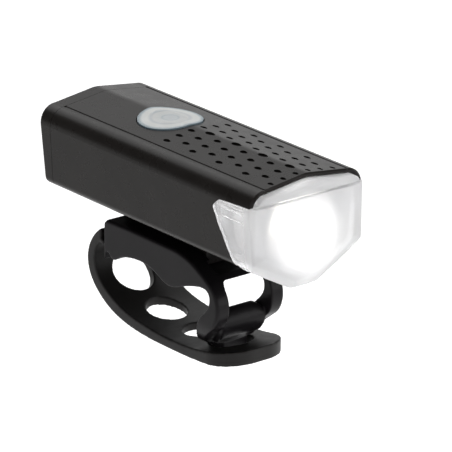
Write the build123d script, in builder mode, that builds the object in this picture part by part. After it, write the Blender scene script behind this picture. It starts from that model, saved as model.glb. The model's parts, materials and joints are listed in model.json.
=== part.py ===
from build123d import *
import os
from math import cos, sin, radians

os.makedirs("parts", exist_ok=True)

# ------------------------------------------------------------------ driving dimensions (mm)
# Profiles are drawn in lamp coordinates: x from the back of the lamp forward, y to the left,
# z up from the lower edge of the lamp's side face. The row origin is the crown of the saddle.
SADDLE_X, SADDLE_Z = 35.5, -16.2      # crown of the saddle, on the handlebar's top
OX, OZ = -SADDLE_X, -SADDLE_Z

BODY_FRONT = 95.0                     # hood's front edge
SEAM = 3.9                            # joint between the housing and the rear cap
WALL = 2.0
RIDGE_Z = 24.65
EAVE_Y, EAVE_Z = 14.72, 22.72         # fine groove where the roof meets the rounded shoulder
SIDE_Y, SHOULDER_Z = 20.15, 17.3
SILL_Y, SILL_Z = 19.2, -0.05
KEEL_Z = -10.55

BUTTON_X, BUTTON_R = 34.3, 9.5
BUTTON_GAP = 0.3
TRAVEL = 0.8

LENS_FRONT = 97.0
LENS_PROUD = 0.35

BR_HALF = 12.2                        # half width of the bracket and the strap
BR_REAR = 18.9
BR_TOP = -8.0
CH_Z0, CH_Z1 = -12.5, -10.1           # channel of the slide rail: floor and underside of its lips
CH_HALF, LIP_HALF = 7.3, 5.8
RAIL_X0, RAIL_X1 = 24.0, 58.0

PIN_X, PIN_Z, PIN_R = 17.9, -13.8, 1.25
KNUCKLE_R = 2.3
LUG_HALF = 3.5
KNUCKLE_HALF = 9.9                    # half width of the strap between the bracket's cheeks

STRAP_HALF = 12.2
HOLES = [(32.9, -35.9), (49.3, -36.9), (62.6, -36.3)]   # strap holes on the flat run, centres
HOLE_A, HOLE_B = 5.9, 6.9             # half length along the strap and half width of the hole that takes the hook
HOLE_SIZES = ((6.4, 5.9), (5.4, 5.7), (HOLE_A, HOLE_B))

CELL_R, CELL_L, CELL_X0, CELL_Z = 9.15, 49.8, 13.0, 4.05
PCB_Z0, PCB_T = 14.2, 1.6
REF_Z = 8.1                           # optical axis height


def side(y=0.0):
    """Plane of the side view: local x is lamp x, local y is lamp z; it extrudes towards -Y."""
    return Plane(origin=(OX, y, OZ), x_dir=(1, 0, 0), z_dir=(0, -1, 0))


def across(x):
    """Plane of the front view: local x is y, local y is lamp z; it extrudes towards +X."""
    return Plane(origin=(OX + x, 0, OZ), x_dir=(0, 1, 0), z_dir=(1, 0, 0))


def level(z):
    """Plane of the top view: local x is lamp x, local y is y; it extrudes upwards."""
    return Plane(origin=(OX, 0, OZ + z), x_dir=(1, 0, 0), z_dir=(0, 0, 1))


def body_outline(grow=0.0, sill_r=2.4, keel_r=3.0):
    """Six-sided section of the lamp: low gable roof, round shoulders, keeled bottom."""
    with BuildSketch() as sk:
        with BuildLine():
            a = SHOULDER_Z
            r = SIDE_Y - EAVE_Y
            k = 0.7071
            Polyline((0, RIDGE_Z), (EAVE_Y, EAVE_Z))
            ThreePointArc((EAVE_Y, EAVE_Z), (EAVE_Y + r * k, a + (EAVE_Z - a) * k), (SIDE_Y, a))
            Polyline((SIDE_Y, a), (SILL_Y, SILL_Z), (0, KEEL_Z), (-SILL_Y, SILL_Z), (-SIDE_Y, a))
            ThreePointArc((-SIDE_Y, a), (-EAVE_Y - r * k, a + (EAVE_Z - a) * k), (-EAVE_Y, EAVE_Z))
            Polyline((-EAVE_Y, EAVE_Z), (0, RIDGE_Z))
        make_face()
        fillet([v for v in sk.vertices() if abs(v.Y - SILL_Z) < 0.01 and abs(abs(v.X) - SILL_Y) < 0.01], radius=sill_r)
        fillet([v for v in sk.vertices() if abs(v.X) < 0.01 and v.Y < 0], radius=keel_r)
        fillet([v for v in sk.vertices() if abs(v.X) < 0.01 and v.Y > 0], radius=9.0)
        if grow:
            offset(amount=grow, kind=Kind.INTERSECTION, mode=Mode.REPLACE)
    return sk.sketch


def roof_z(y):
    return RIDGE_Z - (RIDGE_Z - EAVE_Z) * abs(y) / EAVE_Y


# outline of the lens wing in the side view; the housing is cut to it with a small gap
def wing_outline(grow=0.0):
    with BuildSketch() as sk:
        with BuildLine():
            Polyline((97.5, 18.3), (81.6, 17.55), (78.75, 15.2), (80.9, 10.6), (86.2, 1.8),
                     (88.1, -0.4), (88.1, -14), (97.5, -14), (97.5, 18.3))
        make_face()
        fillet([v for v in sk.vertices() if abs(v.X - 81.6) < 0.01], radius=1.2)
        fillet([v for v in sk.vertices() if abs(v.X - 78.75) < 0.01], radius=1.2)
        fillet([v for v in sk.vertices() if abs(v.X - 86.2) < 0.01], radius=2.0)
        if grow:
            offset(amount=grow, kind=Kind.INTERSECTION, mode=Mode.REPLACE)
    return sk.sketch


# ------------------------------------------------------------------ housing
with BuildPart() as housing:
    with BuildSketch(across(SEAM)):
        add(body_outline())
    extrude(amount=BODY_FRONT - SEAM)
    with BuildSketch(across(SEAM)):
        add(body_outline(-WALL))
    extrude(amount=BODY_FRONT - SEAM, mode=Mode.SUBTRACT)
    # window for the lens and its wings, under the hood
    with BuildSketch(side(0)):
        add(wing_outline(0.12))
    extrude(amount=30, both=True, mode=Mode.SUBTRACT)
    # the hood thins towards its front edge
    with BuildSketch(across(93.0)):
        add(body_outline(-1.4))
    extrude(amount=3.0, mode=Mode.SUBTRACT)
    # bevel of the hood's front edge
    hood = housing.edges().filter_by(lambda e: abs(e.center().X - (OX + BODY_FRONT)) < 0.01)
    chamfer([e for e in hood if e.center().Z > OZ + 22.6 or abs(e.center().Y) > 15.3], 0.45)
    # fine grooves along the roof's eaves
    with BuildSketch(across(SEAM - 1)):
        with Locations((EAVE_Y + 0.1, EAVE_Z + 0.12), (-EAVE_Y - 0.1, EAVE_Z + 0.12)):
            Circle(0.42)
    extrude(amount=BODY_FRONT - SEAM + 2, mode=Mode.SUBTRACT)
    # hole for the round key
    with BuildSketch(level(18)):
        with Locations((BUTTON_X, 0)):
            Circle(BUTTON_R + BUTTON_GAP)
    extrude(amount=10, mode=Mode.SUBTRACT)
    # screw bosses of the rail and their holes
    with BuildSketch(level(-9.2)):
        with Locations((30, 0), (52, 0)):
            Circle(2.6)
    extrude(amount=3.0)
    with BuildSketch(level(-12)):
        with Locations((30, 0), (52, 0)):
            Circle(0.95)
    extrude(amount=7, mode=Mode.SUBTRACT)
    # rows of scooped pockets on the roof
    for i in range(9):
        px = 47.05 + 5.85 * i
        if i == 8:
            px -= 0.9
        ys = (0, 4.4, -4.4, 8.8, -8.8) if i % 2 else (2.2, -2.2, 6.6, -6.6, 11.0, -11.0)
        for py in ys:
            big = py == 0
            a, r = (2.55, 1.05) if big else (1.85, 0.8)
            if i == 8:
                a, r = 1.5, 0.65
            lean = 7.5 * (1 if py > 0 else -1 if py < 0 else 0)
            pl = Plane(origin=(OX + px, py, OZ + roof_z(py) - (0.10 if not big else 0.16)),
                       x_dir=(cos(radians(14)), 0, sin(radians(14))),
                       z_dir=(0, -1, 0))
            with BuildSketch(pl):
                with BuildLine():
                    Spline((-a, 0), (-a * 0.72, r * 0.72), (-a * 0.2, r), (a * 0.45, r * 0.55), (a, 0))
                    Line((a, 0), (-a, 0))
                make_face()
            revolve(axis=Axis(pl.origin, pl.x_dir), mode=Mode.SUBTRACT)
housing.part.label = "housing"
export_step(housing.part, "parts/housing.step")

# ------------------------------------------------------------------ rear cap
CAP_TOP_X, CAP_RAKE = -1.9, 0.06
HINGE_X, HINGE_Z = -0.33, 4.4         # axis of the port cover
with BuildPart() as rear_cap:
    with BuildSketch(across(-3.2)):
        add(body_outline())
    extrude(amount=SEAM - 0.15 + 3.2)
    # raked back face
    with BuildSketch(side(0)):
        with BuildLine():
            Polyline((-8, 27), (CAP_TOP_X - CAP_RAKE * 2.35, 27), (CAP_TOP_X + CAP_RAKE * 36.65, -12), (-8, -12), (-8, 27))
        make_face()
    extrude(amount=30, both=True, mode=Mode.SUBTRACT)
    back = [e for e in rear_cap.edges() if e.center().X < OX + 2.1
            and e.bounding_box().size.X < 2.4 and e.center().Z > OZ - 11]
    fillet(back, radius=1.0)
    # lip that plugs into the housing, with a groove for the seal
    with BuildSketch(across(SEAM - 0.2)):
        add(body_outline(-WALL - 0.15))
        add(body_outline(-WALL - 1.75), mode=Mode.SUBTRACT)
    extrude(amount=4.2)
    with BuildSketch(across(SEAM + 1.2)):
        add(body_outline(-WALL + 0.1))
        add(body_outline(-WALL - 0.85), mode=Mode.SUBTRACT)
    extrude(amount=1.3, mode=Mode.SUBTRACT)
    # recess of the port cover, with the finger notch above it, then the socket window
    with BuildSketch(across(-4)):
        with Locations((0, 8.55)):
            RectangleRounded(16.4, 10.5, 2.2)
    extrude(amount=4 + 0.65, mode=Mode.SUBTRACT)
    with BuildSketch(across(-4)):
        with Locations((0, 13.6)):
            SlotOverall(7.0, 3.0)
    extrude(amount=4 + 0.3, mode=Mode.SUBTRACT)
    with BuildSketch(across(0)):
        with Locations((0, 9.4)):
            RectangleRounded(9.6, 4.6, 1.2)
    extrude(amount=8, mode=Mode.SUBTRACT)
    # hinge seat of the port cover
    with BuildSketch(side(0)):
        with Locations((HINGE_X, HINGE_Z)):
            Circle(1.15)
    extrude(amount=4.6, both=True, mode=Mode.SUBTRACT)
    # screw holes with countersinks
    for y in (-13.5, 13.5):
        with BuildSketch(across(-4)):
            with Locations((y, 9.4)):
                Circle(1.15)
        extrude(amount=10, mode=Mode.SUBTRACT)
        with BuildSketch(across(-4)):
            with Locations((y, 9.4)):
                Circle(2.15)
        extrude(amount=4 + 0.6, mode=Mode.SUBTRACT)
    # bosses behind the screw holes
    with BuildSketch(across(SEAM - 0.2)):
        with Locations((-13.5, 9.4), (13.5, 9.4)):
            Circle(2.4)
            Circle(1.15, mode=Mode.SUBTRACT)
    extrude(amount=2.0)
rear_cap.part.label = "rear_cap"
export_step(rear_cap.part, "parts/rear_cap.step")

with BuildPart() as cap_seal:
    with BuildSketch(across(SEAM + 1.3)):
        add(body_outline(-WALL - 0.05))
        add(body_outline(-WALL - 0.8), mode=Mode.SUBTRACT)
    extrude(amount=1.1)
cap_seal.part.label = "cap_seal"
export_step(cap_seal.part, "parts/cap_seal.step")

with BuildPart() as cap_screws:
    for y in (-13.5, 13.5):
        with BuildSketch(across(0.4)):
            with Locations((y, 9.4)):
                Circle(1.0)
        extrude(amount=10.4)
        with BuildSketch(across(-0.55)):
            with Locations((y, 9.4)):
                Circle(1.9)
        extrude(amount=1.15)
        with BuildSketch(across(-0.7)):
            with Locations((y, 9.4)):
                Rectangle(0.5, 2.2)
                Rectangle(2.2, 0.5)
        extrude(amount=0.9, mode=Mode.SUBTRACT)
    fillet(cap_screws.edges().filter_by(GeomType.CIRCLE).group_by(Axis.X)[0], radius=0.35)
cap_screws.part.label = "cap_screws"
export_step(cap_screws.part, "parts/cap_screws.step")

# ------------------------------------------------------------------ USB port cover
with BuildPart() as port_cover:
    with BuildSketch(across(-1.05)):
        with Locations((0, 8.75)):
            RectangleRounded(15.6, 9.3, 1.9)
    extrude(amount=1.45)
    fillet(port_cover.edges().group_by(Axis.X)[0], radius=0.5)
    with BuildSketch(across(0.3)):
        with Locations((0, 9.4)):
            RectangleRounded(8.6, 3.6, 0.9)
    extrude(amount=1.1)
    with BuildSketch(side(0)):
        with Locations((HINGE_X, HINGE_Z)):
            Circle(0.85)
    extrude(amount=4.2, both=True)
    with BuildSketch(across(-1.4)):
        with Locations((0, 13.35)):
            RectangleRounded(5.4, 1.6, 0.7)
    extrude(amount=1.5)
port_cover.part.label = "port_cover"
export_step(port_cover.part, "parts/port_cover.step")

# ------------------------------------------------------------------ lens with side wings
SLEEVE_X0 = 76.0
KEEL_ANGLE = 28.46                    # slope of the bottom facets


def lens_section(grow=0.0, core_grow=0.0, split=18.18):
    with BuildSketch() as sk:
        add(body_outline(LENS_PROUD + grow))
        with Locations((0, split - 30)):
            Rectangle(60, 60, mode=Mode.INTERSECT)
        add(body_outline(-WALL - 0.12 + core_grow))
    return sk.sketch


with BuildPart() as lens:
    with BuildSketch(across(78.0)):
        add(lens_section())
    extrude(amount=LENS_FRONT - 78.0)
    # brow under the hood's thin edge
    with BuildSketch(across(93.15)):
        add(lens_section(0.0, 0.58))
    extrude(amount=LENS_FRONT - 93.15)
    # trim to the wing outline, with its slanted rear edge
    with BuildSketch(side(0)):
        with BuildLine():
            Polyline((60, 19.0), (LENS_FRONT - 0.01, 19.0), (LENS_FRONT - 0.01, 40), (60, 40), (60, 19.0))
        make_face()
    hood_zone = extrude(amount=30, both=True, mode=Mode.PRIVATE)
    with BuildSketch(side(0)):
        add(wing_outline())
    window = extrude(amount=30, both=True, mode=Mode.PRIVATE)
    keep = window + hood_zone
    add(keep, mode=Mode.INTERSECT)
    # sleeve that plugs into the housing and fills the hood
    with BuildSketch(across(SLEEVE_X0)):
        add(body_outline(-WALL - 0.12))
    extrude(amount=BODY_FRONT - SLEEVE_X0)
    # softer corners along the keel and the sills than the housing has
    with BuildSketch(across(88.1)):
        Rectangle(80, 120)
        add(body_outline(LENS_PROUD, 5.6, 8.0), mode=Mode.SUBTRACT)
    extrude(amount=12, mode=Mode.SUBTRACT)
    # bevels round the front face
    with BuildSketch(level(-15)):
        with BuildLine():
            Polyline((94.9, 21), (94.9, 20.35), (96.3, 18.9), (97.0, 16.0), (97.0, 21), (94.9, 21))
        make_face()
        mirror(about=Plane.XZ)
    extrude(amount=45, mode=Mode.SUBTRACT)
    with BuildSketch(side(0)):
        with BuildLine():
            Polyline((95.2, 26), (95.2, 23.0), (96.2, 22.4), (97.0, 21.1), (99, 21.1), (99, 26), (95.2, 26))
        make_face()
    extrude(amount=30, both=True, mode=Mode.SUBTRACT)
    with BuildSketch(side(0)):
        with BuildLine():
            Polyline((86, -12), (86, -10.9), (89.5, -10.25), (92.6, -9.3), (95.2, -7.6), (96.4, -5.6), (97.0, -3.4), (99, -3.4),
                     (99, -12), (86, -12))
        make_face()
    extrude(amount=30, both=True, mode=Mode.SUBTRACT)
    for s in (1, -1):
        facet = Plane(origin=(OX, s * SILL_Y, OZ + SILL_Z), x_dir=(1, 0, 0),
                      z_dir=(0, s * cos(radians(KEEL_ANGLE)), sin(radians(KEEL_ANGLE))))
        q = -s
        with BuildSketch(facet):
            with BuildLine():
                Polyline((94.4, -1.0 * q), (94.4, -0.1 * q), (96.2, 1.9 * q), (97.0, 4.5 * q), (98.5, 4.5 * q),
                         (98.5, -1.0 * q), (94.4, -1.0 * q))
            make_face()
        extrude(amount=40, both=True, mode=Mode.SUBTRACT)
    # hollow
    with BuildSketch(across(SLEEVE_X0 - 1)):
        add(body_outline(-WALL - 1.6))
    extrude(amount=18.2, mode=Mode.SUBTRACT)
    with BuildSketch(across(79.9)):
        add(body_outline(-1.9))
        with Locations((0, 16.4 - 30)):
            Rectangle(60, 60, mode=Mode.INTERSECT)
        # latch ribs inside the wings
        with Locations((17.75, 13.9), (-17.75, 13.9)):
            Rectangle(1.6, 2.4, mode=Mode.SUBTRACT)
    extrude(amount=93.2 - 79.9, mode=Mode.SUBTRACT)
    with BuildSketch(across(93.0)):
        add(body_outline(-4.6))
    extrude(amount=2.1, mode=Mode.SUBTRACT)
    # groove for the seal
    with BuildSketch(across(SLEEVE_X0 + 0.8)):
        add(body_outline(-WALL + 0.2))
        add(body_outline(-WALL - 0.8), mode=Mode.SUBTRACT)
    extrude(amount=1.1, mode=Mode.SUBTRACT)
lens.part.label = "lens"
export_step(lens.part, "parts/lens.step")

with BuildPart() as lens_seal:
    with BuildSketch(across(SLEEVE_X0 + 0.9)):
        add(body_outline(-WALL - 0.05))
        add(body_outline(-WALL - 0.75), mode=Mode.SUBTRACT)
    extrude(amount=0.9)
lens_seal.part.label = "lens_seal"
export_step(lens_seal.part, "parts/lens_seal.step")

# ------------------------------------------------------------------ light engine
REF_BACK, REF_FRONT, BOWL_R, FOCUS = 80.2, 92.2, 11.5, 2.9
with BuildPart() as reflector:
    with BuildSketch(across(REF_FRONT - 1.6)):
        add(body_outline(-4.9))
    extrude(amount=1.6)
    with BuildSketch(across(REF_BACK)):
        with Locations((0, REF_Z)):
            Circle(BOWL_R + 1.0)
    extrude(amount=REF_FRONT - REF_BACK - 0.2)
    # parabolic bowl, turned about the optical axis
    with BuildSketch(Plane(origin=(OX, 0, OZ + REF_Z), x_dir=(1, 0, 0), z_dir=(0, -1, 0))):
        with BuildLine():
            n = 10
            pts = []
            x_v = REF_FRONT - BOWL_R ** 2 / (4 * FOCUS)
            for i in range(n + 1):
                r = 3.0 + (BOWL_R - 3.0) * i / n
                pts.append((x_v + r * r / (4 * FOCUS), r))
            Line((pts[0][0], 0), pts[0])
            Spline(*pts)
            Line(pts[-1], (REF_FRONT + 1, BOWL_R))
            Line((REF_FRONT + 1, BOWL_R), (REF_FRONT + 1, 0))
            Line((REF_FRONT + 1, 0), (pts[0][0], 0))
        make_face()
    revolve(axis=Axis((OX, 0, OZ + REF_Z), (1, 0, 0)), mode=Mode.SUBTRACT)
    with BuildSketch(across(REF_BACK - 1)):
        with Locations((0, REF_Z)):
            Circle(3.0)
    extrude(amount=6, mode=Mode.SUBTRACT)
    # two pegs that screw down through the LED board
    with BuildSketch(across(REF_BACK - 0.01)):
        with Locations((-8.0, REF_Z), (8.0, REF_Z)):
            Circle(0.85)
    extrude(amount=2.2, mode=Mode.SUBTRACT)
reflector.part.label = "reflector"
export_step(reflector.part, "parts/reflector.step")

with BuildPart() as led_board:
    with BuildSketch(across(REF_BACK - 1.7)):
        with Locations((0, REF_Z)):
            Circle(11.2)
        with Locations((-8.0, REF_Z), (8.0, REF_Z)):
            Circle(1.05, mode=Mode.SUBTRACT)
        with Locations((0, REF_Z + 11.2), (0, REF_Z - 11.2)):
            Circle(1.8, mode=Mode.SUBTRACT)
    extrude(amount=1.6)
led_board.part.label = "led_board"
export_step(led_board.part, "parts/led_board.step")

with BuildPart() as led_emitter:
    with BuildSketch(Plane(origin=(OX, 0, OZ + REF_Z), x_dir=(1, 0, 0), z_dir=(0, -1, 0))):
        with BuildLine():
            b = REF_BACK + 0.6
            Polyline((b, 1.6), (b, 2.4), (REF_BACK - 0.1, 2.4), (REF_BACK - 0.1, 0), (b + 1.6, 0))
            ThreePointArc((b + 1.6, 0), (b + 1.131, 1.131), (b, 1.6))
        make_face()
    revolve(axis=Axis((OX, 0, OZ + REF_Z), (1, 0, 0)))
led_emitter.part.label = "led_emitter"
export_step(led_emitter.part, "parts/led_emitter.step")

HS_X0, HS_X1 = 68.5, REF_BACK - 1.75
with BuildPart() as heat_sink:
    with BuildSketch(across(HS_X1 - 3.0)):
        add(body_outline(-WALL - 1.9))
    extrude(amount=3.0)
    with BuildSketch(across(HS_X0)):
        with Locations((0, REF_Z - 1)):
            with GridLocations(3.6, 1, 4, 1):
                Rectangle(1.3, 13)
    extrude(amount=HS_X1 - 2.9 - HS_X0)
    # way through for the LED leads
    with BuildSketch(across(HS_X0 - 1)):
        with Locations((13.2, REF_Z + 6.5)):
            Circle(1.9)
    extrude(amount=20, mode=Mode.SUBTRACT)
    with BuildSketch(across(HS_X1 - 3.1)):
        with Locations((-8.0, REF_Z), (8.0, REF_Z)):
            Circle(1.05)
    extrude(amount=4, mode=Mode.SUBTRACT)
heat_sink.part.label = "heat_sink"
export_step(heat_sink.part, "parts/heat_sink.step")

with BuildPart() as led_screws:
    for y in (-8.0, 8.0):
        with BuildSketch(across(HS_X1 - 4.3)):
            with Locations((y, REF_Z)):
                Circle(1.7)
        extrude(amount=1.25)
        with BuildSketch(across(HS_X1 - 3.4)):
            with Locations((y, REF_Z)):
                Circle(0.8)
        extrude(amount=3.4 + 1.75 + 1.6)
        with BuildSketch(across(HS_X1 - 4.4)):
            with Locations((y, REF_Z)):
                Rectangle(0.45, 2.0)
                Rectangle(2.0, 0.45)
        extrude(amount=0.7, mode=Mode.SUBTRACT)
led_screws.part.label = "led_screws"
export_step(led_screws.part, "parts/led_screws.step")
# ------------------------------------------------------------------ chassis tray and battery
TRAY_X0, TRAY_X1 = 9.0, 66.5
with BuildPart() as chassis_tray:
    with BuildSketch(across(TRAY_X0)):
        add(body_outline(-WALL - 0.35))
        add(body_outline(-WALL - 1.35), mode=Mode.SUBTRACT)
        with Locations((0, PCB_Z0 - 30)):
            Rectangle(60, 60, mode=Mode.INTERSECT)
    extrude(amount=TRAY_X1 - TRAY_X0)
    # end walls that locate the cell
    with BuildSketch(across(TRAY_X0)):
        add(body_outline(-WALL - 1.2))
        with Locations((0, 10.0 - 30)):
            Rectangle(60, 60, mode=Mode.INTERSECT)
    extrude(amount=1.4)
    with BuildSketch(across(TRAY_X1 - 1.4)):
        add(body_outline(-WALL - 1.2))
        with Locations((0, 10.0 - 30)):
            Rectangle(60, 60, mode=Mode.INTERSECT)
    extrude(amount=1.4)
    # posts for the board screws and the cap screws
    for x in (TRAY_X0 + 2.6, TRAY_X1 - 2.8):
        with BuildSketch(level(4.0)):
            with Locations((x, 14.2), (x, -14.2)):
                Rectangle(5.0, 5.6)
        extrude(amount=PCB_Z0 - 4.0)
    # relief under the rail screws
    with BuildSketch(level(-10)):
        with Locations((30, 0), (52, 0)):
            Circle(3.0)
    extrude(amount=8, mode=Mode.SUBTRACT)
    for x in (TRAY_X0 + 2.6, TRAY_X1 - 2.8):
        with BuildSketch(level(PCB_Z0 - 5.0)):
            with Locations((x, 14.2), (x, -14.2)):
                Circle(0.8)
        extrude(amount=6, mode=Mode.SUBTRACT)
    with BuildSketch(across(TRAY_X0 - 1)):
        with Locations((13.5, 9.4), (-13.5, 9.4)):
            Circle(1.0)
    extrude(amount=3.2, mode=Mode.SUBTRACT)
chassis_tray.part.label = "chassis_tray"
export_step(chassis_tray.part, "parts/chassis_tray.step")

with BuildPart() as battery_cell:
    with BuildSketch(across(CELL_X0)):
        with Locations((0, CELL_Z)):
            Circle(CELL_R)
    extrude(amount=CELL_L - 1.2)
    fillet(battery_cell.edges(), radius=0.6)
    with BuildSketch(across(CELL_X0 + CELL_L - 1.3)):
        with Locations((0, CELL_Z)):
            Circle(3.4)
    extrude(amount=1.3)
battery_cell.part.label = "battery_cell"
export_step(battery_cell.part, "parts/battery_cell.step")

with BuildPart() as battery_tabs:
    with BuildSketch(across(CELL_X0 - 0.25)):
        with Locations((3.0, CELL_Z)):
            Rectangle(12.0, 5.0)
    extrude(amount=0.2)
    with BuildSketch(across(CELL_X0 + CELL_L + 0.05)):
        with Locations((3.0, CELL_Z)):
            Rectangle(12.0, 5.0)
    extrude(amount=0.2)
battery_tabs.part.label = "battery_tabs"
export_step(battery_tabs.part, "parts/battery_tabs.step")

with BuildPart() as battery_foam:
    with BuildSketch(across(30.0)):
        with Locations((0, CELL_Z + CELL_R + 0.48)):
            Rectangle(9.0, 0.76)
        with Locations((0, CELL_Z)):
            Circle(CELL_R + 0.02, mode=Mode.SUBTRACT)
    extrude(amount=16.0)
battery_foam.part.label = "battery_foam"
export_step(battery_foam.part, "parts/battery_foam.step")

# ------------------------------------------------------------------ main board and what it carries
PCB_TOP = PCB_Z0 + PCB_T
PCB_X0, PCB_X1 = TRAY_X0 - 0.7, TRAY_X1 - 0.2
with BuildPart() as main_board:
    with BuildSketch(level(PCB_Z0)):
        with Locations(((PCB_X0 + PCB_X1) / 2, 0)):
            RectangleRounded(PCB_X1 - PCB_X0, 34.0, 1.2)
        for x in (TRAY_X0 + 2.6, TRAY_X1 - 2.8):
            with Locations((x, 14.2), (x, -14.2)):
                Circle(1.15, mode=Mode.SUBTRACT)
        # gap for the USB socket
        with Locations((PCB_X0, 0)):
            Rectangle(4.0, 12.0, mode=Mode.SUBTRACT)
    extrude(amount=PCB_T)
main_board.part.label = "main_board"
export_step(main_board.part, "parts/main_board.step")

with BuildPart() as board_screws:
    for x in (TRAY_X0 + 2.6, TRAY_X1 - 2.8):
        for y in (14.2, -14.2):
            with BuildSketch(level(PCB_TOP)):
                with Locations((x, y)):
                    Circle(1.75)
            extrude(amount=1.2)
            with BuildSketch(level(PCB_TOP - 5.2)):
                with Locations((x, y)):
                    Circle(0.78)
            extrude(amount=5.3)
            with BuildSketch(level(PCB_TOP + 0.6)):
                with Locations((x, y)):
                    Rectangle(2.0, 0.45)
                    Rectangle(0.45, 2.0)
            extrude(amount=0.8, mode=Mode.SUBTRACT)
board_screws.part.label = "board_screws"
export_step(board_screws.part, "parts/board_screws.step")

with BuildPart() as switch_body:
    with BuildSketch(level(PCB_TOP)):
        with Locations((BUTTON_X, 0)):
            RectangleRounded(6.2, 6.2, 0.4)
    extrude(amount=2.2)
    with BuildSketch(level(PCB_TOP + 0.7)):
        with Locations((BUTTON_X, 0)):
            Circle(1.55)
    extrude(amount=3, mode=Mode.SUBTRACT)
switch_body.part.label = "switch_body"
export_step(switch_body.part, "parts/switch_body.step")

PLUNGER_TOP = PCB_TOP + 3.2
with BuildPart() as switch_plunger:
    with BuildSketch(level(PCB_TOP + 1.7)):
        with Locations((BUTTON_X, 0)):
            Circle(1.5)
    extrude(amount=PLUNGER_TOP - PCB_TOP - 1.7)
switch_plunger.part.label = "switch_plunger"
export_step(switch_plunger.part, "parts/switch_plunger.step")

with BuildPart() as status_leds:
    with BuildSketch(level(PCB_TOP)):
        with Locations((BUTTON_X, 0)):
            with PolarLocations(5.6, 4, start_angle=45):
                Rectangle(1.9, 1.1)
    extrude(amount=0.8)
status_leds.part.label = "status_leds"
export_step(status_leds.part, "parts/status_leds.step")

with BuildPart() as board_parts:
    with BuildSketch(level(PCB_TOP)):
        with Locations((52.5, 3.5)):
            RectangleRounded(6.2, 6.2, 0.8)
    extrude(amount=3.2)
    with BuildSketch(level(PCB_TOP)):
        with Locations((53.0, -6.0)):
            Rectangle(5.2, 4.2)
        with Locations((18.5, 6.0)):
            Rectangle(5.0, 4.0)
    extrude(amount=1.5)
    with BuildSketch(level(PCB_TOP)):
        with Locations((46.5, 10.5), (46.5, 8.0), (46.5, -10.5), (59.5, 1.5), (59.5, -1.5), (24.5, -11.0), (20.0, -4.0), (20.0, -6.5)):
            Rectangle(2.0, 1.25)
    extrude(amount=0.9)
board_parts.part.label = "board_parts"
export_step(board_parts.part, "parts/board_parts.step")

# USB socket on a small daughter board behind the rear cap
USB_Z, USB_X0, USB_X1 = 9.4, 2.9, 8.4
with BuildPart() as usb_socket:
    with BuildSketch(across(USB_X0)):
        with Locations((0, USB_Z)):
            RectangleRounded(8.9, 3.3, 1.5)
            RectangleRounded(8.3, 2.7, 1.25, mode=Mode.SUBTRACT)
    extrude(amount=USB_X1 - USB_X0)
    with BuildSketch(across(USB_X1 - 0.5)):
        with Locations((0, USB_Z)):
            RectangleRounded(8.9, 3.3, 1.5)
    extrude(amount=0.5)
    with BuildSketch(across(USB_X0 + 0.9)):
        with Locations((0, USB_Z)):
            Rectangle(6.6, 0.7)
    extrude(amount=USB_X1 - USB_X0 - 1.0)
usb_socket.part.label = "usb_socket"
export_step(usb_socket.part, "parts/usb_socket.step")

with BuildPart() as usb_board:
    with BuildSketch(level(USB_Z - 1.65 - 1.0)):
        with Locations(((USB_X0 + 1.6 + USB_X1) / 2, 0)):
            Rectangle(USB_X1 - USB_X0 - 1.6, 17.0)
    extrude(amount=1.0)
usb_board.part.label = "usb_board"
export_step(usb_board.part, "parts/usb_board.step")


def lead(points, radius, bend):
    """Insulated lead: straight runs joined by tangent arcs."""
    pts = [(OX + p[0], p[1], OZ + p[2]) for p in points]
    with BuildPart() as wire:
        with BuildLine() as path:
            FilletPolyline(*pts, radius=bend)
        with BuildSketch(Plane(origin=path.line @ 0, z_dir=path.line % 0)):
            Circle(radius)
        sweep(path=path.line)
    return wire.part


with BuildPart() as led_leads:
    add(lead([(60.5, 13.0, PCB_TOP + 0.5), (60.5, 13.0, 18.0), (72.0, 13.0, 18.0), (74.5, 12.9, REF_Z + 6.9), (HS_X1 - 0.05, 12.9, REF_Z + 6.9)], 0.55, 1.0))
led_leads.part.label = "led_leads"
export_step(led_leads.part, "parts/led_leads.step")

with BuildPart() as battery_leads:
    add(lead([(CELL_X0 - 0.8, 8.0, CELL_Z + 1.5), (CELL_X0 - 0.8, 10.2, CELL_Z + 1.5), (CELL_X0 + 4.5, 10.2, CELL_Z + 1.5),
              (CELL_X0 + 4.5, 10.2, PCB_Z0 - 0.05)], 0.5, 0.9))
    add(lead([(CELL_X0 + CELL_L + 0.8, 8.0, CELL_Z + 1.5), (CELL_X0 + CELL_L + 0.8, 10.2, CELL_Z + 1.5),
              (CELL_X0 + CELL_L - 6.5, 10.2, CELL_Z + 1.5), (CELL_X0 + CELL_L - 6.5, 10.2, PCB_Z0 - 0.05)], 0.5, 0.9))
battery_leads.part.label = "battery_leads"
export_step(battery_leads.part, "parts/battery_leads.step")

# ------------------------------------------------------------------ key and its frame
FRAME_Z0, FRAME_Z1 = 18.7, 19.6
FLANGE_R = 11.6
with BuildPart() as button_frame:
    with BuildSketch(level(FRAME_Z0)):
        with Locations((BUTTON_X, 0)):
            Circle(12.6)
            Circle(2.6, mode=Mode.SUBTRACT)
            with PolarLocations(5.6, 4, start_angle=45):
                Circle(1.5, mode=Mode.SUBTRACT)
    extrude(amount=FRAME_Z1 - FRAME_Z0)
    with BuildSketch(level(PCB_TOP)):
        with Locations((BUTTON_X, 0)):
            with PolarLocations(10.6, 4, start_angle=45):
                Circle(1.4)
    extrude(amount=FRAME_Z0 - PCB_TOP + 0.1)
button_frame.part.label = "button_frame"
export_step(button_frame.part, "parts/button_frame.step")

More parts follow.
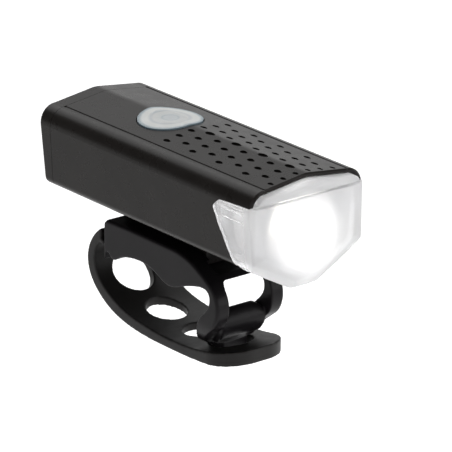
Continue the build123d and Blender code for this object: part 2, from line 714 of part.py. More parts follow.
with BuildPart() as button:
    # crowned key that follows the gable roof and stands a little proud of it
    with BuildSketch(across(BUTTON_X - 12)):
        add(body_outline(0.35))
        with Locations((0, 20.9 - 15)):
            Rectangle(60, 30, mode=Mode.SUBTRACT)
    extrude(amount=24)
    with BuildSketch(level(10)):
        with Locations((BUTTON_X, 0)):
            Circle(BUTTON_R)
    extrude(amount=30, mode=Mode.INTERSECT)
    # dished centre
    with BuildSketch(side(0)):
        with BuildLine():
            Polyline((BUTTON_X, 30), (BUTTON_X, RIDGE_Z - 0.3), (BUTTON_X + 2.0, RIDGE_Z - 0.25), (BUTTON_X + 5.5, RIDGE_Z - 0.05),
                     (BUTTON_X + 6.8, RIDGE_Z + 0.5), (BUTTON_X + 6.8, 30), (BUTTON_X, 30))
        make_face()
    revolve(axis=Axis((OX + BUTTON_X, 0, OZ), (0, 0, 1)), mode=Mode.SUBTRACT)
    # flange under the roof, and the post that reaches the switch
    with BuildSketch(across(BUTTON_X - 13)):
        add(body_outline(-WALL - 0.35))
        with Locations((0, 20.6 - 15)):
            Rectangle(60, 30, mode=Mode.SUBTRACT)
    flange_bar = extrude(amount=26, mode=Mode.PRIVATE)
    with BuildSketch(level(10)):
        with Locations((BUTTON_X, 0)):
            Circle(FLANGE_R)
    flange_cyl = extrude(amount=30, mode=Mode.PRIVATE)
    add(flange_bar & flange_cyl)
    with BuildSketch(level(PLUNGER_TOP)):
        with Locations((BUTTON_X, 0)):
            Circle(2.0)
    extrude(amount=21.5 - PLUNGER_TOP)
button.part.label = "button"
export_step(button.part, "parts/button.step")

# ------------------------------------------------------------------ slide rail under the keel
with BuildPart() as mounting_rail:
    with BuildSketch(across(RAIL_X0)):
        with BuildLine():
            Polyline((-5.5, -6), (5.5, -6), (5.5, CH_Z1 - 0.3), (7.0, CH_Z1 - 0.3), (7.0, CH_Z0 + 0.3), (-7.0, CH_Z0 + 0.3),
                     (-7.0, CH_Z1 - 0.3), (-5.5, CH_Z1 - 0.3), (-5.5, -6))
        make_face()
        add(body_outline(0.02), mode=Mode.SUBTRACT)
    extrude(amount=RAIL_X1 - RAIL_X0)
    chamfer(mounting_rail.edges().filter_by(Axis.Z).group_by(Axis.X)[0], 0.6)
    with BuildSketch(level(-13)):
        with Locations((30, 0), (52, 0)):
            Circle(1.15)
    extrude(amount=7, mode=Mode.SUBTRACT)
    with BuildSketch(level(-13)):
        with Locations((30, 0), (52, 0)):
            Circle(2.1)
    extrude(amount=13 - 10.9, mode=Mode.SUBTRACT)
    # notch for the bracket's snap tongue
    with BuildSketch(side(0)):
        with Locations((41.0, CH_Z0 + 0.2)):
            Rectangle(3.2, 1.6)
    extrude(amount=3.0, both=True, mode=Mode.SUBTRACT)
mounting_rail.part.label = "mounting_rail"
export_step(mounting_rail.part, "parts/mounting_rail.step")

with BuildPart() as rail_screws:
    for x in (30, 52):
        with BuildSketch(level(-12.1)):
            with Locations((x, 0)):
                Circle(1.95)
        extrude(amount=1.15)
        with BuildSketch(level(-11)):
            with Locations((x, 0)):
                Circle(0.93)
        extrude(amount=4.6)
        with BuildSketch(level(-12.2)):
            with Locations((x, 0)):
                Rectangle(2.2, 0.5)
                Rectangle(0.5, 2.2)
        extrude(amount=0.8, mode=Mode.SUBTRACT)
rail_screws.part.label = "rail_screws"
export_step(rail_screws.part, "parts/rail_screws.step")
# ------------------------------------------------------------------ handlebar bracket
ARCH = [(25.0, -18.6), (35.5, -16.2), (45.8, -18.7)]
PAD_T = 1.0
STRAP_HOLE = HOLES[2]

with BuildPart() as bracket:
    with BuildSketch(side(0)):
        with BuildLine():
            Polyline((18.9, -16.9), (18.9, -9.0), (19.8, -8.2), (31.0, -7.9), (51.0, -8.0))
            Spline((51.0, -8.0), (56.0, -8.6), (59.6, -9.6), (63.7, -11.6), (66.6, -13.2), (69.6, -15.7), (71.2, -18.8),
                   (71.3, -22.6), (69.4, -26.6), (65.8, -29.6), (63.2, -32.2), (62.4, -35.6), tangents=((1, 0), (0, -1)))
            Line((62.4, -35.6), (57.8, -35.6))
            Spline((57.8, -35.6), (58.6, -33.2), (60.5, -30.6), (61.6, -28.2), (62.9, -25.4), (65.8, -22.4), (67.5, -19.4), (67.0, -16.7),
                   (65.2, -15.8), (62.6, -15.95), (59.2, -16.75), (55.8, -17.85), (52.3, -19.15), (48.7, -19.65), (45.8, -18.85), (40.8, -16.85),
                   (35.5, -16.2), (30.2, -16.8), (25.4, -18.5), (22.2, -19.2), (19.7, -18.6), (18.9, -16.9), tangents=((0, 1), (0, 1)))
        make_face()
    extrude(amount=BR_HALF, both=True)
    rims = bracket.faces().sort_by(Axis.Y)[0].edges() + bracket.faces().sort_by(Axis.Y)[-1].edges()
    fillet([e for e in rims if e.length < 50 and (e @ 0.5).Z > OZ - 30 and (e @ 0.5).X > OX + 19.0], radius=0.8)
    # seen from the front the hook narrows to the neck that goes through the strap
    with BuildSketch(across(0)):
        with BuildLine():
            Polyline((-BR_HALF, 0), (BR_HALF, 0), (BR_HALF, -25.0))
            Spline((BR_HALF, -25.0), (12.0, -27.8), (11.2, -30.4), (9.5, -32.7), (5.8, -35.0), tangents=((0, -1), (-1, -0.25)))
            Polyline((5.8, -35.0), (5.8, -45), (-5.8, -45), (-5.8, -35.0))
            Spline((-5.8, -35.0), (-9.5, -32.7), (-11.2, -30.4), (-12.0, -27.8), (-BR_HALF, -25.0), tangents=((-1, 0.25), (0, 1)))
            Line((-BR_HALF, -25.0), (-BR_HALF, 0))
        make_face()
    extrude(amount=90, mode=Mode.INTERSECT)
    with BuildSketch(side(0)):
        with BuildLine():
            Polyline((57.8, -33.0), (64.4, -33.0), (64.4, -37.4), (65.6, -38.2), (65.6, -39.4), (58.8, -39.4), (57.8, -38.4), (57.8, -33.0))
        make_face()
    extrude(amount=5.7, both=True)
    # window between the two legs of the hook
    with BuildSketch(across(57.0)):
        with Locations((0, -13.8 - 9.0)):
            RectangleRounded(15.4, 18.0, 2.0)
    extrude(amount=25, mode=Mode.SUBTRACT)
    # tip of the hook between the legs
    with BuildPart(mode=Mode.PRIVATE) as tip:
        with BuildSketch(side(0)):
            with BuildLine():
                Spline((64.8, -23.3), (67.5, -24.5), (68.6, -27.8), (66.6, -32.0), (63.6, -35.4), tangents=((1, 0.1), (-0.6, -1)))
                Polyline((63.6, -35.4), (60.0, -35.2), (61.4, -30.2))
                Spline((61.4, -30.2), (62.2, -27.0), (64.8, -23.3))
            make_face()
        extrude(amount=8.0, both=True)
        with BuildSketch(across(50)):
            with BuildLine():
                Polyline((-7.9, -28.2), (-7.7, -26.2))
                ThreePointArc((-7.7, -26.2), (-7.0, -24.4), (-5.2, -23.4))
                Polyline((-5.2, -23.4), (-5.2, -22), (5.2, -22), (5.2, -23.4))
                ThreePointArc((5.2, -23.4), (7.0, -24.4), (7.7, -26.2))
                Polyline((7.7, -26.2), (7.9, -28.2))
                Spline((7.9, -28.2), (7.2, -31.6), (5.6, -36.0), tangents=((0, -1), (-0.4, -1)))
                Line((5.6, -36.0), (-5.6, -36.0))
                Spline((-5.6, -36.0), (-7.2, -31.6), (-7.9, -28.2), tangents=((-0.4, 1), (0, 1)))
            make_face()
        extrude(amount=30, mode=Mode.INTERSECT)
    add(tip.part)
    # neck and lip stay inside the strap's hole while the strap swings away
    with BuildSketch(level(-41)):
        with Locations((60, 0)):
            Rectangle(30, 30)
        with BuildSketch(Plane.XY, mode=Mode.PRIVATE) as eye:
            with Locations((STRAP_HOLE[0] - 0.3, 0)):
                Ellipse(HOLE_A - 0.4, HOLE_B - 0.4)
            with Locations((STRAP_HOLE[0] - 2.5, 0)):
                Ellipse(HOLE_A - 0.4, HOLE_B - 0.4, mode=Mode.INTERSECT)
        add(eye.sketch, mode=Mode.SUBTRACT)
    extrude(amount=7.1, mode=Mode.SUBTRACT)
    # slot for the lamp's rail, open to the front
    with BuildSketch(across(22.0)):
        with BuildLine():
            Polyline((-7.3, CH_Z0), (7.3, CH_Z0), (7.3, CH_Z1), (5.8, CH_Z1), (5.8, 0), (-5.8, 0), (-5.8, CH_Z1), (-7.3, CH_Z1), (-7.3, CH_Z0))
        make_face()
    extrude(amount=60, mode=Mode.SUBTRACT)
    with BuildSketch(across(15.0)):
        with BuildLine():
            Polyline((0, KEEL_Z - 0.35), (12.0, KEEL_Z - 0.35 + 12.0 * 0.5412), (-12.0, KEEL_Z - 0.35 + 12.0 * 0.5412), (0, KEEL_Z - 0.35))
        make_face()
    extrude(amount=60, mode=Mode.SUBTRACT)
    # detent
    with BuildSketch(side(0)):
        with BuildLine():
            Polyline((39.8, CH_Z0 - 0.2), (42.2, CH_Z0 - 0.2), (41.7, CH_Z0 + 0.15), (40.3, CH_Z0 + 0.15), (39.8, CH_Z0 - 0.2))
        make_face()
    extrude(amount=2.4, both=True)
    # seat of the rubber pad
    with BuildSketch(side(0)):
        with BuildLine():
            ThreePointArc((24.0, -19.1 + PAD_T), (35.5, -16.2 + PAD_T), (47.0, -19.1 + PAD_T))
            Polyline((47.0, -19.1 + PAD_T), (47.0, -24), (24.0, -24), (24.0, -19.1 + PAD_T))
        make_face()
        with Locations((35.5, -20)):
            Rectangle(20.4, 12, mode=Mode.INTERSECT)
    extrude(amount=9.7, both=True, mode=Mode.SUBTRACT)
    # rounded seat between two cheeks, and centre lug for the strap's pin
    with BuildSketch(side(0)):
        with Locations((PIN_X, PIN_Z)):
            Circle(KNUCKLE_R + 0.35)
    extrude(amount=KNUCKLE_HALF + 0.3, both=True, mode=Mode.SUBTRACT)
    with BuildSketch(side(0)):
        with Locations((PIN_X, PIN_Z)):
            Circle(2.2)
        with Locations((PIN_X + 2.1, PIN_Z)):
            Rectangle(4.2, 4.4)
    extrude(amount=LUG_HALF, both=True)
    with BuildSketch(side(0)):
        with Locations((PIN_X, PIN_Z)):
            Circle(PIN_R + 0.02)
    extrude(amount=LUG_HALF + 1, both=True, mode=Mode.SUBTRACT)
bracket.part.label = "bracket"
export_step(bracket.part, "parts/bracket.step")

with BuildPart() as saddle_pad:
    with BuildSketch(side(0)):
        with BuildLine():
            ThreePointArc((24.0, -19.1 + PAD_T - 0.05), (35.5, -16.2 + PAD_T - 0.05), (47.0, -19.1 + PAD_T - 0.05))
            Line((47.0, -19.1 + PAD_T - 0.05), (47.0, -19.1))
            ThreePointArc((47.0, -19.1), (35.5, -16.2), (24.0, -19.1))
            Line((24.0, -19.1), (24.0, -19.1 + PAD_T - 0.05))
        make_face()
        with Locations((35.5, -18)):
            Rectangle(20.3, 12, mode=Mode.INTERSECT)
    extrude(amount=9.65, both=True)
    # shallow grip grooves across the bar
    with BuildSketch(side(0)):
        for k in range(-3, 4):
            with Locations((35.5 + 2.8 * k, -16.2 - 0.0215 * (2.8 * k) ** 2)):
                Circle(0.35)
    extrude(amount=20, both=True, mode=Mode.SUBTRACT)
saddle_pad.part.label = "saddle_pad"
export_step(saddle_pad.part, "parts/saddle_pad.step")

with BuildPart() as strap_pin:
    with BuildSketch(side(9.4)):
        with Locations((PIN_X, PIN_Z)):
            Circle(PIN_R)
    extrude(amount=18.8)
    chamfer(strap_pin.edges().filter_by(GeomType.CIRCLE), 0.3)
strap_pin.part.label = "strap_pin"
export_step(strap_pin.part, "parts/strap_pin.step")

# ------------------------------------------------------------------ strap with its row of holes
with BuildPart() as strap:
    with BuildSketch(side(0)):
        with BuildLine():
            Spline((16.0, -12.4), (13.0, -15.6), (10.9, -20.5), (11.7, -26.4), (15.6, -31.3), (22.0, -35.3), (31.2, -37.8), (43.0, -38.75),
                   (54.8, -38.75), (63.9, -38.4), (71.0, -37.75), (77.0, -36.9))
            Line((77.0, -36.9), (76.9, -32.6))
            Spline((76.9, -32.6), (73.0, -33.2), (67.4, -34.2), (60.0, -35.3), (54.0, -35.7), (46.0, -35.8), (38.0, -35.2), (28.8, -33.7), (20.8, -30.4),
                   (15.8, -26.2), (14.2, -21.2), (15.2, -17.6), (17.9, -15.6))
            Polyline((17.9, -15.6), (17.9, -13.8), (16.0, -12.4))
        make_face()
        with Locations((PIN_X, PIN_Z)):
            Circle(KNUCKLE_R)
    extrude(amount=STRAP_HALF, both=True)
    # rounded free end
    with BuildSketch(level(-45)):
        with Locations((76.6 - 50, 0)):
            RectangleRounded(100, 2 * STRAP_HALF, 10.0)
    extrude(amount=50, mode=Mode.INTERSECT)
    # the outer face is recessed between two thicker rims
    with BuildSketch(side(0)):
        with BuildLine():
            Spline((11.0, -20.6), (11.7, -21.8), (12.7, -26.3), (16.6, -31.0), (22.5, -34.4), (30.4, -36.65), (37.8, -37.7), (46.0, -38.3), (54.2, -38.25),
                   (60.2, -38.0), (67.8, -37.3), (70.6, -37.1), (71.6, -38.2))
            Polyline((71.6, -38.2), (71.6, -45), (5, -45), (5, -20.6), (11.0, -20.6))
        make_face()
    extrude(amount=9.6, both=True, mode=Mode.SUBTRACT)
    # holes that take the hook
    with BuildSketch(level(-45)):
        for (hx, hz), (ha, hb) in zip(HOLES, HOLE_SIZES):
            with Locations((hx, 0)):
                Ellipse(ha, hb)
    extrude(amount=17, mode=Mode.SUBTRACT)
    with BuildSketch(Plane(origin=(OX + 16.8, 0, OZ - 27.3), x_dir=(0.66, 0, -0.75), z_dir=(0.75, 0, 0.66))):
        Ellipse(7.1, 6.6)
    extrude(amount=5.4, both=True, mode=Mode.SUBTRACT)
    # slot for the bracket's lug, bore for the pin
    with BuildSketch(side(0)):
        with Locations((PIN_X, PIN_Z)):
            Circle(2.55)
        with Locations((PIN_X + 2, PIN_Z)):
            Rectangle(4, 5.1)
    extrude(amount=LUG_HALF + 0.3, both=True, mode=Mode.SUBTRACT)
    with BuildSketch(side(0)):
        with Locations((PIN_X, PIN_Z)):
            Circle(PIN_R + 0.05)
    extrude(amount=9.5, both=True, mode=Mode.SUBTRACT)
    # narrower between the bracket's cheeks
    for s in (1, -1):
        with BuildSketch(side(s * 11.4 + 1.5)):
            with BuildLine():
                Polyline((17.2, -8), (17.2, -14.4), (18.5, -15.0), (18.5, -20), (24, -20), (24, -8), (17.2, -8))
            make_face()
        extrude(amount=3.0, mode=Mode.SUBTRACT)
strap.part.label = "strap"
export_step(strap.part, "parts/strap.step")
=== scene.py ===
import json
import math
import bmesh
import bpy
import numpy as np
from mathutils import Matrix, Vector


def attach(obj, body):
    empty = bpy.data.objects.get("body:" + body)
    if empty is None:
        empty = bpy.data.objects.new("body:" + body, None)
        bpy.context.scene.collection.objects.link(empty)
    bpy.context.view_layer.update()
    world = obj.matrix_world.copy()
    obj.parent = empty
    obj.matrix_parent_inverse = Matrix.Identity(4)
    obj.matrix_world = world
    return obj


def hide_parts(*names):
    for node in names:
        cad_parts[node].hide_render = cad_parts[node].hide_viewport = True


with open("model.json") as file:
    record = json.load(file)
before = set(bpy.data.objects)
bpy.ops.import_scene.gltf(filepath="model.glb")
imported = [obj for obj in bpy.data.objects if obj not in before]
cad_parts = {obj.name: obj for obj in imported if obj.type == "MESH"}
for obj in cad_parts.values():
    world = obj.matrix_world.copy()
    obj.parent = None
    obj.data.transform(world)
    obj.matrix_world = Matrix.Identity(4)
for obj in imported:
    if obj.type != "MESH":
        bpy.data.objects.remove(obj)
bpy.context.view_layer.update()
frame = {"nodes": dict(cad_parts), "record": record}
NODES = frame["nodes"]
scene = bpy.context.scene


def L(x, y, z):
    """Lamp millimetres (x from the back of the lamp, z from the lower edge of its side) to the row frame."""
    return Vector(((x - 35.5) / 1000, y / 1000, (z + 16.2) / 1000))


# ---------------------------------------------------------------- materials
def new_mat(name):
    m = bpy.data.materials.new(name)
    m.use_nodes = True
    nt = m.node_tree
    nt.nodes.clear()
    out = nt.nodes.new("ShaderNodeOutputMaterial")
    bsdf = nt.nodes.new("ShaderNodeBsdfPrincipled")
    nt.links.new(bsdf.outputs["BSDF"], out.inputs["Surface"])
    return m, nt, bsdf


def coords(nt):
    return nt.nodes.new("ShaderNodeTexCoord").outputs["Object"]


def noise(nt, src, scale, detail=3.0, rough=0.55, stretch=None):
    if stretch is not None:
        mp = nt.nodes.new("ShaderNodeMapping")
        mp.inputs["Scale"].default_value = stretch
        nt.links.new(src, mp.inputs["Vector"])
        src = mp.outputs["Vector"]
    n = nt.nodes.new("ShaderNodeTexNoise")
    n.inputs["Scale"].default_value = scale
    n.inputs["Detail"].default_value = detail
    n.inputs["Roughness"].default_value = rough
    nt.links.new(src, n.inputs["Vector"])
    return n.outputs["Fac"]


def ramp(nt, fac, stops):
    r = nt.nodes.new("ShaderNodeValToRGB")
    while len(r.color_ramp.elements) < len(stops):
        r.color_ramp.elements.new(0.5)
    for e, (p, c) in zip(r.color_ramp.elements, stops):
        e.position = p
        e.color = (c[0], c[1], c[2], 1) if hasattr(c, "__len__") else (c, c, c, 1)
    nt.links.new(fac, r.inputs["Fac"])
    return r.outputs["Color"]


def bump(nt, height, strength, distance):
    b = nt.nodes.new("ShaderNodeBump")
    b.inputs["Strength"].default_value = strength
    b.inputs["Distance"].default_value = distance
    nt.links.new(height, b.inputs["Height"])
    return b.outputs["Normal"]


def moulded(name, dark, light, rough, grain=2600, depth=0.00003, strength=0.35, specular=0.5, mottling=90, coat=0.0):
    """Moulded plastic or rubber: fine eroded grain, slight uneven tone and gloss."""
    m, nt, b = new_mat(name)
    c = coords(nt)
    tone = noise(nt, c, mottling, 4)
    nt.links.new(ramp(nt, tone, [(0.3, dark), (0.7, light)]), b.inputs["Base Color"])
    gl = noise(nt, c, mottling * 2.3, 3)
    nt.links.new(ramp(nt, gl, [(0.25, rough[0]), (0.75, rough[1])]), b.inputs["Roughness"])
    nt.links.new(bump(nt, noise(nt, c, grain, 2), strength, depth), b.inputs["Normal"])
    b.inputs["Specular IOR Level"].default_value = specular
    if coat:
        b.inputs["Coat Weight"].default_value = coat
        b.inputs["Coat Roughness"].default_value = 0.25
    return m


def metal(name, c0, c1, rough, brushed=(1, 40, 40), grain=900, metallic=1.0):
    m, nt, b = new_mat(name)
    c = coords(nt)
    n = noise(nt, c, grain, 3, 0.6, brushed)
    nt.links.new(ramp(nt, n, [(0.3, c0), (0.7, c1)]), b.inputs["Base Color"])
    nt.links.new(ramp(nt, n, [(0.2, rough[0]), (0.8, rough[1])]), b.inputs["Roughness"])
    nt.links.new(bump(nt, n, 0.2, 0.00002), b.inputs["Normal"])
    b.inputs["Metallic"].default_value = metallic
    return m


body_mat = moulded("body_plastic", (0.0094, 0.0080, 0.0071), (0.0126, 0.0110, 0.0100), (0.25, 0.32), grain=2300, depth=0.00002, strength=0.3, specular=0.125)
bracket_mat = moulded("bracket_plastic", (0.0060, 0.0052, 0.0060), (0.0090, 0.0080, 0.0090), (0.30, 0.38), grain=2500, depth=0.00002, strength=0.3, specular=0.11)
strap_mat = moulded("strap_rubber", (0.0078, 0.0070, 0.0068), (0.0115, 0.0106, 0.0103), (0.40, 0.50), grain=1900, depth=0.00003, strength=0.35, specular=0.19)
seal_mat = moulded("seal_rubber", (0.015, 0.015, 0.015), (0.024, 0.024, 0.024), (0.55, 0.7), grain=1500, depth=0.00004)
tray_mat = moulded("inner_plastic", (0.55, 0.55, 0.53), (0.66, 0.66, 0.64), (0.45, 0.55), grain=1500)
foam_mat = moulded("foam", (0.05, 0.05, 0.05), (0.10, 0.10, 0.10), (0.9, 1.0), grain=1600, depth=0.0002, strength=0.8)
chip_mat = moulded("chip_plastic", (0.012, 0.012, 0.012), (0.02, 0.02, 0.02), (0.4, 0.5), grain=3000)
steel_mat = metal("steel", (0.42, 0.42, 0.43), (0.58, 0.58, 0.59), (0.25, 0.4))
alloy_mat = metal("alloy", (0.60, 0.61, 0.62), (0.72, 0.73, 0.74), (0.3, 0.45))
cell_mat = moulded("cell_can", (0.03, 0.09, 0.28), (0.04, 0.12, 0.34), (0.25, 0.35), grain=600, coat=0.3)
wire_mat = moulded("wire_jacket", (0.40, 0.02, 0.015), (0.5, 0.03, 0.02), (0.4, 0.5), grain=1600)

# green board with faint copper tracks
board_mat, nt, b = new_mat("circuit_board")
c = coords(nt)
wv = nt.nodes.new("ShaderNodeTexWave")
wv.inputs["Scale"].default_value = 420
wv.inputs["Distortion"].default_value = 1.5
nt.links.new(c, wv.inputs["Vector"])
nt.links.new(ramp(nt, wv.outputs["Fac"], [(0.45, (0.01, 0.09, 0.035)), (0.62, (0.02, 0.16, 0.06))]), b.inputs["Base Color"])
nt.links.new(bump(nt, wv.outputs["Fac"], 0.2, 0.00003), b.inputs["Normal"])
b.inputs["Roughness"].default_value = 0.35

# key: milky blue-white silicone, a little translucent; its pale colour, in rings round its middle and darker at the
# rim, is painted light standing in for a soft glow from below
key_mat, nt, b = new_mat("key_silicone")
c = coords(nt)
sep = nt.nodes.new("ShaderNodeSeparateXYZ")
mp = nt.nodes.new("ShaderNodeMapping")
mp.inputs["Location"].default_value = (-(34.3 - 35.5) / 1000, 0, 0)
nt.links.new(c, mp.inputs["Vector"])
nt.links.new(mp.outputs["Vector"], sep.inputs["Vector"])


def math_node(nt, op, a, b2=None):
    n = nt.nodes.new("ShaderNodeMath")
    n.operation = op
    for i, v in enumerate((a, b2)):
        if v is None:
            continue
        if isinstance(v, (int, float)):
            n.inputs[i].default_value = v
        else:
            nt.links.new(v, n.inputs[i])
    return n.outputs[0]


rr = math_node(nt, "SQRT", math_node(nt, "ADD", math_node(nt, "MULTIPLY", sep.outputs["X"], sep.outputs["X"]),
                                     math_node(nt, "MULTIPLY", sep.outputs["Y"], sep.outputs["Y"])))
rn = math_node(nt, "MULTIPLY", rr, 105.0)
tone = ramp(nt, rn, [(0.0, (0.50, 0.53, 0.55)), (0.20, (0.51, 0.54, 0.55)), (0.25, (0.40, 0.45, 0.48)), (0.31, (0.55, 0.57, 0.57)),
                     (0.52, (0.56, 0.57, 0.56)), (0.60, (0.46, 0.49, 0.51)), (0.70, (0.63, 0.64, 0.62)), (0.86, (0.60, 0.62, 0.61)),
                     (0.94, (0.30, 0.37, 0.40)), (1.0, (0.15, 0.20, 0.23))])
cloud = ramp(nt, noise(nt, c, 260, 3), [(0.3, 0.74), (0.7, 0.82)])
mx = nt.nodes.new("ShaderNodeMix")
mx.data_type = "RGBA"
mx.blend_type = "MULTIPLY"
mx.inputs["Factor"].default_value = 1.0
nt.links.new(tone, mx.inputs["A"])
nt.links.new(cloud, mx.inputs["B"])
nt.links.new(mx.outputs["Result"], b.inputs["Base Color"])
nt.links.new(bump(nt, noise(nt, c, 2000, 2), 0.2, 0.00002), b.inputs["Normal"])
b.inputs["Roughness"].default_value = 0.38
b.inputs["Subsurface Weight"].default_value = 0.25
b.inputs["Subsurface Radius"].default_value = (0.002, 0.0022, 0.0024)
b.inputs["Subsurface Scale"].default_value = 1.0

# clear polycarbonate, faintly milky; its front window is finely frosted and spreads the beam
lens_mat, nt, b = new_mat("clear_lens")
c = coords(nt)
clouds = ramp(nt, noise(nt, c, 60, 3), [(0.3, (0.95, 0.95, 0.965)), (0.7, (1.0, 1.0, 1.0))])
sep = nt.nodes.new("ShaderNodeSeparateXYZ")
nt.links.new(c, sep.inputs["Vector"])
tint = ramp(nt, math_node(nt, "MULTIPLY", sep.outputs["X"], 10.0), [(0.0, (0.98, 0.98, 0.985)), (0.56, (0.98, 0.98, 0.985)), (0.60, (0.80, 0.80, 0.80)), (1.0, (0.80, 0.80, 0.80))])
mx = nt.nodes.new("ShaderNodeMix")
mx.data_type = "RGBA"
mx.blend_type = "MULTIPLY"
mx.inputs["Factor"].default_value = 1.0
nt.links.new(clouds, mx.inputs["A"])
nt.links.new(tint, mx.inputs["B"])
nt.links.new(mx.outputs["Result"], b.inputs["Base Color"])
frost = ramp(nt, math_node(nt, "MULTIPLY", sep.outputs["X"], 10.0), [(0.0, 0.11), (0.555, 0.12), (0.585, 0.46), (1.0, 0.46)])
wear = ramp(nt, noise(nt, c, 300, 3), [(0.3, 0.85), (0.75, 1.0)])
mx = nt.nodes.new("ShaderNodeMix")
mx.data_type = "RGBA"
mx.blend_type = "MULTIPLY"
mx.inputs["Factor"].default_value = 1.0
nt.links.new(frost, mx.inputs["A"])
nt.links.new(wear, mx.inputs["B"])
nt.links.new(mx.outputs["Result"], b.inputs["Roughness"])
nt.links.new(bump(nt, noise(nt, c, 110, 2), 0.08, 0.0001), b.inputs["Normal"])
milk = ramp(nt, math_node(nt, "MULTIPLY", sep.outputs["X"], 10.0), [(0.0, 0.88), (0.555, 0.86), (0.60, 0.60), (1.0, 0.60)])
nt.links.new(milk, b.inputs["Transmission Weight"])
b.inputs["IOR"].default_value = 1.42
b.inputs["Emission Color"].default_value = (1.0, 0.99, 0.985, 1)
# painted glow: the frosted front is given emission round the optical axis, and the side wings a faint even emission,
# standing in for the LED's light scattered in the lens
dz = math_node(nt, "SUBTRACT", sep.outputs["Z"], 0.0225)
rl = math_node(nt, "SQRT", math_node(nt, "ADD", math_node(nt, "MULTIPLY", sep.outputs["Y"], sep.outputs["Y"]), math_node(nt, "MULTIPLY", dz, dz)))
halo = ramp(nt, math_node(nt, "MULTIPLY", rl, 40.0), [(0.0, 0.70), (0.16, 0.56), (0.30, 0.32), (0.40, 0.14), (0.50, 0.03), (0.62, 0.0), (0.85, 0.0)])
front = ramp(nt, math_node(nt, "MULTIPLY", sep.outputs["X"], 10.0), [(0.0, 0.05), (0.56, 0.06), (0.605, 1.0), (1.0, 1.0)])
painted_wing_glow = ramp(nt, math_node(nt, "MULTIPLY", sep.outputs["X"], 10.0), [(0.0, 0.10), (0.56, 0.10), (0.60, 0.0), (1.0, 0.0)])
nt.links.new(math_node(nt, "ADD", math_node(nt, "MULTIPLY", halo, front), painted_wing_glow), b.inputs["Emission Strength"])

# metallised bowl with a painted glow standing in for the chip's light on it: emission bright round the optical axis,
# plain towards the rim
ref_mat, nt, b = new_mat("bright_reflector")
c = coords(nt)
nz = noise(nt, c, 700, 3)
nt.links.new(ramp(nt, nz, [(0.3, (0.70, 0.70, 0.71)), (0.7, (0.78, 0.78, 0.78))]), b.inputs["Base Color"])
nt.links.new(bump(nt, nz, 0.25, 0.0001), b.inputs["Normal"])
b.inputs["Metallic"].default_value = 0.6
b.inputs["Roughness"].default_value = 0.38
sep = nt.nodes.new("ShaderNodeSeparateXYZ")
nt.links.new(c, sep.inputs["Vector"])
dz = math_node(nt, "SUBTRACT", sep.outputs["Z"], 0.0243)
rr = math_node(nt, "SQRT", math_node(nt, "ADD", math_node(nt, "MULTIPLY", sep.outputs["Y"], sep.outputs["Y"]), math_node(nt, "MULTIPLY", dz, dz)))
nt.links.new(ramp(nt, math_node(nt, "MULTIPLY", rr, 50.0), [(0.0, 0.60), (0.30, 0.50), (0.50, 0.24), (0.66, 0.08), (0.9, 0.03)]), b.inputs["Emission Strength"])
b.inputs["Emission Color"].default_value = (1.0, 0.99, 0.97, 1)

led_mat, nt, b = new_mat("led_phosphor")
c = coords(nt)
nt.links.new(ramp(nt, noise(nt, c, 1500, 2), [(0.3, (0.9, 0.78, 0.3)), (0.7, (1.0, 0.88, 0.42))]), b.inputs["Base Color"])
b.inputs["Roughness"].default_value = 0.4
b.inputs["Emission Color"].default_value = (1.0, 0.985, 0.95, 1)
b.inputs["Emission Strength"].default_value = 9.0

BY_SLOT = {"body_plastic": body_mat, "bracket_plastic": bracket_mat, "strap_rubber": strap_mat, "seal_rubber": seal_mat, "key_silicone": key_mat,
           "clear_lens": lens_mat, "bright_reflector": ref_mat, "led_phosphor": led_mat, "alloy": alloy_mat, "steel": steel_mat,
           "circuit_board": board_mat, "chip_plastic": chip_mat, "cell_can": cell_mat, "inner_plastic": tray_mat, "foam": foam_mat,
           "wire_jacket": wire_mat}
SLOT_OF = {s["node"]: s["material_slot"] for s in frame["record"]["subparts"]}
for name, obj in NODES.items():
    mat = BY_SLOT[SLOT_OF[name]]
    if not obj.data.materials:
        obj.data.materials.append(mat)
    for i in range(len(obj.data.materials)):
        obj.data.materials[i] = mat


# ---------------------------------------------------------------- moulded pieces with soft edges
def soften(node, name, body, voxel, rounds, mat):
    """A closed copy of a CAD solid with every edge rounded the way a mould leaves it."""
    me = NODES[node].data.copy()
    bm = bmesh.new()
    bm.from_mesh(me)
    bmesh.ops.remove_doubles(bm, verts=bm.verts, dist=1e-6)
    bm.to_mesh(me)
    bm.free()
    tmp = bpy.data.objects.new(name + "_src", me)
    scene.collection.objects.link(tmp)
    r = tmp.modifiers.new("r", "REMESH")
    r.mode = "VOXEL"
    r.voxel_size = voxel
    r.adaptivity = 0
    s = tmp.modifiers.new("s", "SMOOTH")
    s.factor = 0.5
    s.iterations = rounds
    dg = bpy.context.evaluated_depsgraph_get()
    out = bpy.data.meshes.new_from_object(tmp.evaluated_get(dg))
    bpy.data.objects.remove(tmp)
    out.materials.clear()
    out.materials.append(mat)
    out.polygons.foreach_set("use_smooth", [True] * len(out.polygons))
    obj = bpy.data.objects.new(name, out)
    scene.collection.objects.link(obj)
    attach(obj, body)
    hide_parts(node)
    return obj


strap = soften("strap", "strap_moulding", "strap", 0.00028, 6, strap_mat)
bracket = soften("bracket", "bracket_moulding", "bracket", 0.00024, 5, bracket_mat)
lens = soften("lens", "lens_moulding", "lamp", 0.00026, 6, lens_mat)

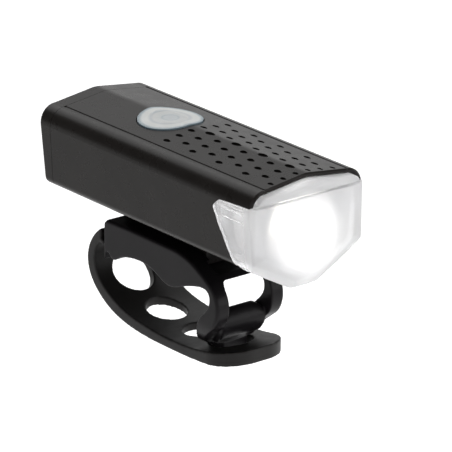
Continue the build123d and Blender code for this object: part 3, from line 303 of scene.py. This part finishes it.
# ---------------------------------------------------------------- camera at the photograph's viewpoint
F_PX = 4002.35
A, E, ROLL = math.radians(51.04), math.radians(20.18), math.radians(0.46)
d = Vector((-math.sin(A) * math.cos(E), math.cos(A) * math.cos(E), -math.sin(E)))
r0 = Vector((math.cos(A), math.sin(A), 0.0))
u0 = r0.cross(d)
r = math.cos(ROLL) * r0 + math.sin(ROLL) * u0
u = -math.sin(ROLL) * r0 + math.cos(ROLL) * u0
cam_data = bpy.data.cameras.new("camera")
cam = bpy.data.objects.new("camera", cam_data)
scene.collection.objects.link(cam)
cam_data.sensor_width = 36.0
cam_data.sensor_fit = "HORIZONTAL"
cam_data.lens = F_PX * 36.0 / 452.0
cam_data.clip_start = 0.05
cam_data.clip_end = 50
m = Matrix.Identity(4)
for i in range(3):
    m[i][0], m[i][1], m[i][2] = r[i], u[i], -d[i]
m.translation = L(885.306, -667.422, 389.038)
cam.matrix_world = m
scene.camera = cam

# ---------------------------------------------------------------- floor and light
bm = bmesh.new()
bmesh.ops.create_grid(bm, x_segments=2, y_segments=2, size=12.0)
fm = bpy.data.meshes.new("floor")
bm.to_mesh(fm)
bm.free()
floor = bpy.data.objects.new("floor", fm)
floor.location = (0, 0, -0.30)
scene.collection.objects.link(floor)
floor_mat, nt, b = new_mat("floor_white")
c = coords(nt)
nt.links.new(ramp(nt, noise(nt, c, 3, 2), [(0.3, 0.93), (0.7, 0.95)]), b.inputs["Base Color"])
b.inputs["Roughness"].default_value = 0.9
b.inputs["Emission Color"].default_value = (1, 1, 1, 1)
b.inputs["Emission Strength"].default_value = 0.62
fm.materials.append(floor_mat)

world = bpy.data.worlds.new("studio")
world.use_nodes = True
nt = world.node_tree
bg = nt.nodes["Background"]
sep = nt.nodes.new("ShaderNodeSeparateXYZ")
nt.links.new(nt.nodes.new("ShaderNodeTexCoord").outputs["Generated"], sep.inputs["Vector"])
height = math_node(nt, "ADD", math_node(nt, "MULTIPLY", sep.outputs["Z"], 0.5), 0.5)
across = math_node(nt, "ADD", math_node(nt, "MULTIPLY", sep.outputs["Y"], 0.5), 0.5)
along = math_node(nt, "ADD", math_node(nt, "MULTIPLY", sep.outputs["X"], 0.5), 0.5)
# pale surround that dies out overhead
surround = ramp(nt, height, [(0.0, 1.0), (0.5, 1.0), (0.65, 1.0), (0.71, 0.62), (0.75, 0.42), (0.79, 0.15), (0.84, 0.05), (1.0, 0.05)])
# long light panel above and behind the lamp
panel = math_node(nt, "MULTIPLY", ramp(nt, height, [(0.0, 0.0), (0.75, 0.0), (0.775, 1.0), (0.90, 1.0), (0.93, 0.0)]),
                  ramp(nt, across, [(0.0, 0.0), (0.36, 0.0), (0.42, 0.8), (0.50, 0.85), (0.60, 1.0), (0.72, 1.0), (0.78, 0.0)]))
panel = math_node(nt, "MULTIPLY", panel, ramp(nt, along, [(0.0, 1.0), (0.26, 1.0), (0.36, 0.0), (1.0, 0.0)]))
# dark flag on the near side behind the lamp
flag = math_node(nt, "MULTIPLY", ramp(nt, across, [(0.0, 1.0), (0.33, 1.0), (0.40, 0.0), (1.0, 0.0)]),
                 ramp(nt, along, [(0.0, 1.0), (0.25, 1.0), (0.45, 0.0), (1.0, 0.0)]))
flag = math_node(nt, "SUBTRACT", 1.0, math_node(nt, "MULTIPLY", flag, 0.88))
total = math_node(nt, "ADD", math_node(nt, "MULTIPLY", surround, flag), math_node(nt, "MULTIPLY", panel, 3.0))
nt.links.new(total, bg.inputs["Strength"])
bg.inputs["Color"].default_value = (1, 1, 1, 1)
scene.world = world


def softbox(name, loc, target, size, power, colour=(1, 1, 1)):
    data = bpy.data.lights.new(name, "AREA")
    data.shape = "RECTANGLE"
    data.size, data.size_y = size
    data.energy = power
    data.color = colour
    o = bpy.data.objects.new(name, data)
    scene.collection.objects.link(o)
    o.location = loc
    o.rotation_euler = (Vector(target) - Vector(loc)).to_track_quat("-Z", "Y").to_euler()
    return o


softbox("top_box", (0.1, 0.15, 0.9), (0, 0, 0.02), (0.9, 0.9), 6.0)
softbox("front_box", (0.9, 0.5, 0.35), (0, 0, 0.02), (0.5, 0.8), 3.0)

scene.view_settings.view_transform = "Standard"
scene.view_settings.look = "None"
scene.view_settings.exposure = 0.0
